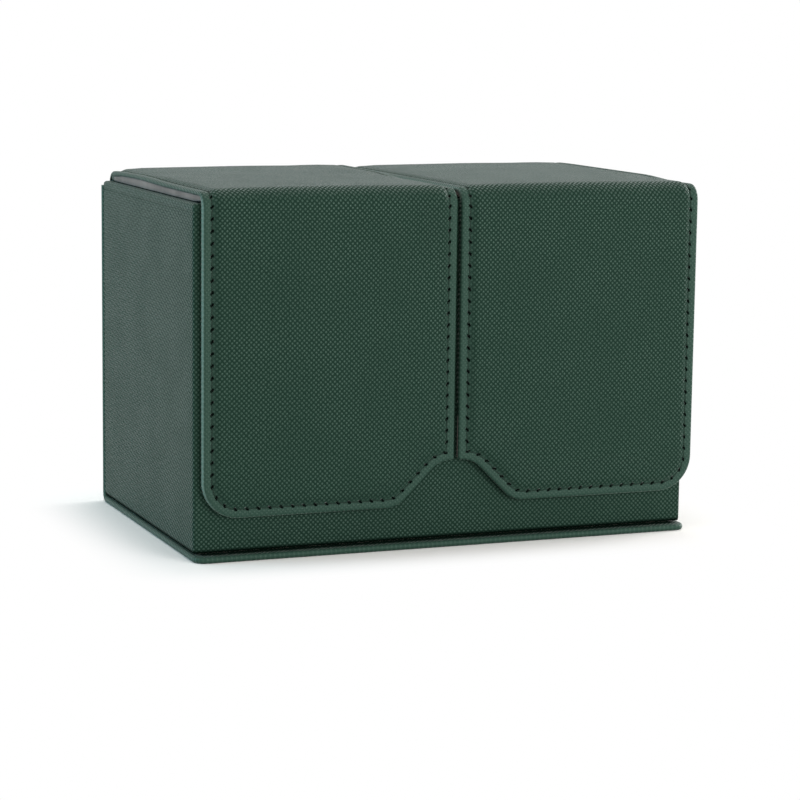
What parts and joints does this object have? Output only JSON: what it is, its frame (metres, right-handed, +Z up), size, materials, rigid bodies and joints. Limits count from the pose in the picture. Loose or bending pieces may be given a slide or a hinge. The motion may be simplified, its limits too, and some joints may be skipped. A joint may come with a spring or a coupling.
{
  "type": "playing card box",
  "caption": "Flip-top card box covered in embossed leatherette, with side-by-side compartments under hinged lids whose folding front flaps close on hidden magnets.",
  "frame": {"origin": "middle of the base plate's underside, on the surface the box stands on", "axes": "+Z up, -Y towards the flaps at the front, +X to the right of someone facing the flaps"},
  "size_m": [0.1556, 0.1, 0.105],
  "materials": {
    "cover_leather": "cross-grain embossed",
    "tray_leather": "cross-grain embossed",
    "hinge_leather": "cross-grain embossed",
    "lining": "short-pile microfibre",
    "greyboard": "matt",
    "magnet": "nickel plated",
    "thread": "waxed polyester"
  },
  "bodies": {
    "box": {"back_board": "greyboard", "back_leather": "cover_leather", "base_board": "greyboard", "base_leather": "cover_leather", "divider_board": "greyboard", "divider_cap": "lining", "front_wall_magnets": "magnet", "left_cell_lining": "lining", "left_hinge_leather": "hinge_leather", "right_cell_lining": "lining", "right_hinge_leather": "hinge_leather", "tray_floor_board": "greyboard", "tray_front_board": "greyboard", "tray_leather": "tray_leather", "tray_left_board": "greyboard", "tray_rear_board": "greyboard", "tray_right_board": "greyboard"},
    "left_lid": {"left_fold_leather": "hinge_leather", "left_lid_board": "greyboard", "left_lid_leather": "cover_leather", "left_lid_lining": "lining"},
    "left_flap": {"left_flap_board": "greyboard", "left_flap_leather": "cover_leather", "left_flap_lining": "lining", "left_flap_magnets": "magnet"},
    "right_lid": {"right_fold_leather": "hinge_leather", "right_lid_board": "greyboard", "right_lid_leather": "cover_leather", "right_lid_lining": "lining"},
    "right_flap": {"right_flap_board": "greyboard", "right_flap_leather": "cover_leather", "right_flap_lining": "lining", "right_flap_magnets": "magnet"}
  },
  "joints": [
    {"name": "left_lid_hinge", "type": "hinge", "parent": "box", "child": "left_lid", "pos_m": [-0.03645, 0.04824, 0.10324], "axis": [-1, 0, 0], "range_deg": [0, 205], "deforming": ["left_hinge_leather"]},
    {"name": "left_flap_fold", "type": "hinge", "parent": "left_lid", "child": "left_flap", "pos_m": [-0.03645, -0.04711, 0.10211], "axis": [-1, 0, 0], "range_deg": [0, 100], "deforming": ["left_fold_leather"]},
    {"name": "right_lid_hinge", "type": "hinge", "parent": "box", "child": "right_lid", "pos_m": [0.04065, 0.04824, 0.10324], "axis": [-1, 0, 0], "range_deg": [0, 205], "deforming": ["right_hinge_leather"]},
    {"name": "right_flap_fold", "type": "hinge", "parent": "right_lid", "child": "right_flap", "pos_m": [0.04065, -0.04711, 0.10211], "axis": [-1, 0, 0], "range_deg": [0, 100], "deforming": ["right_fold_leather"]}
  ]
}
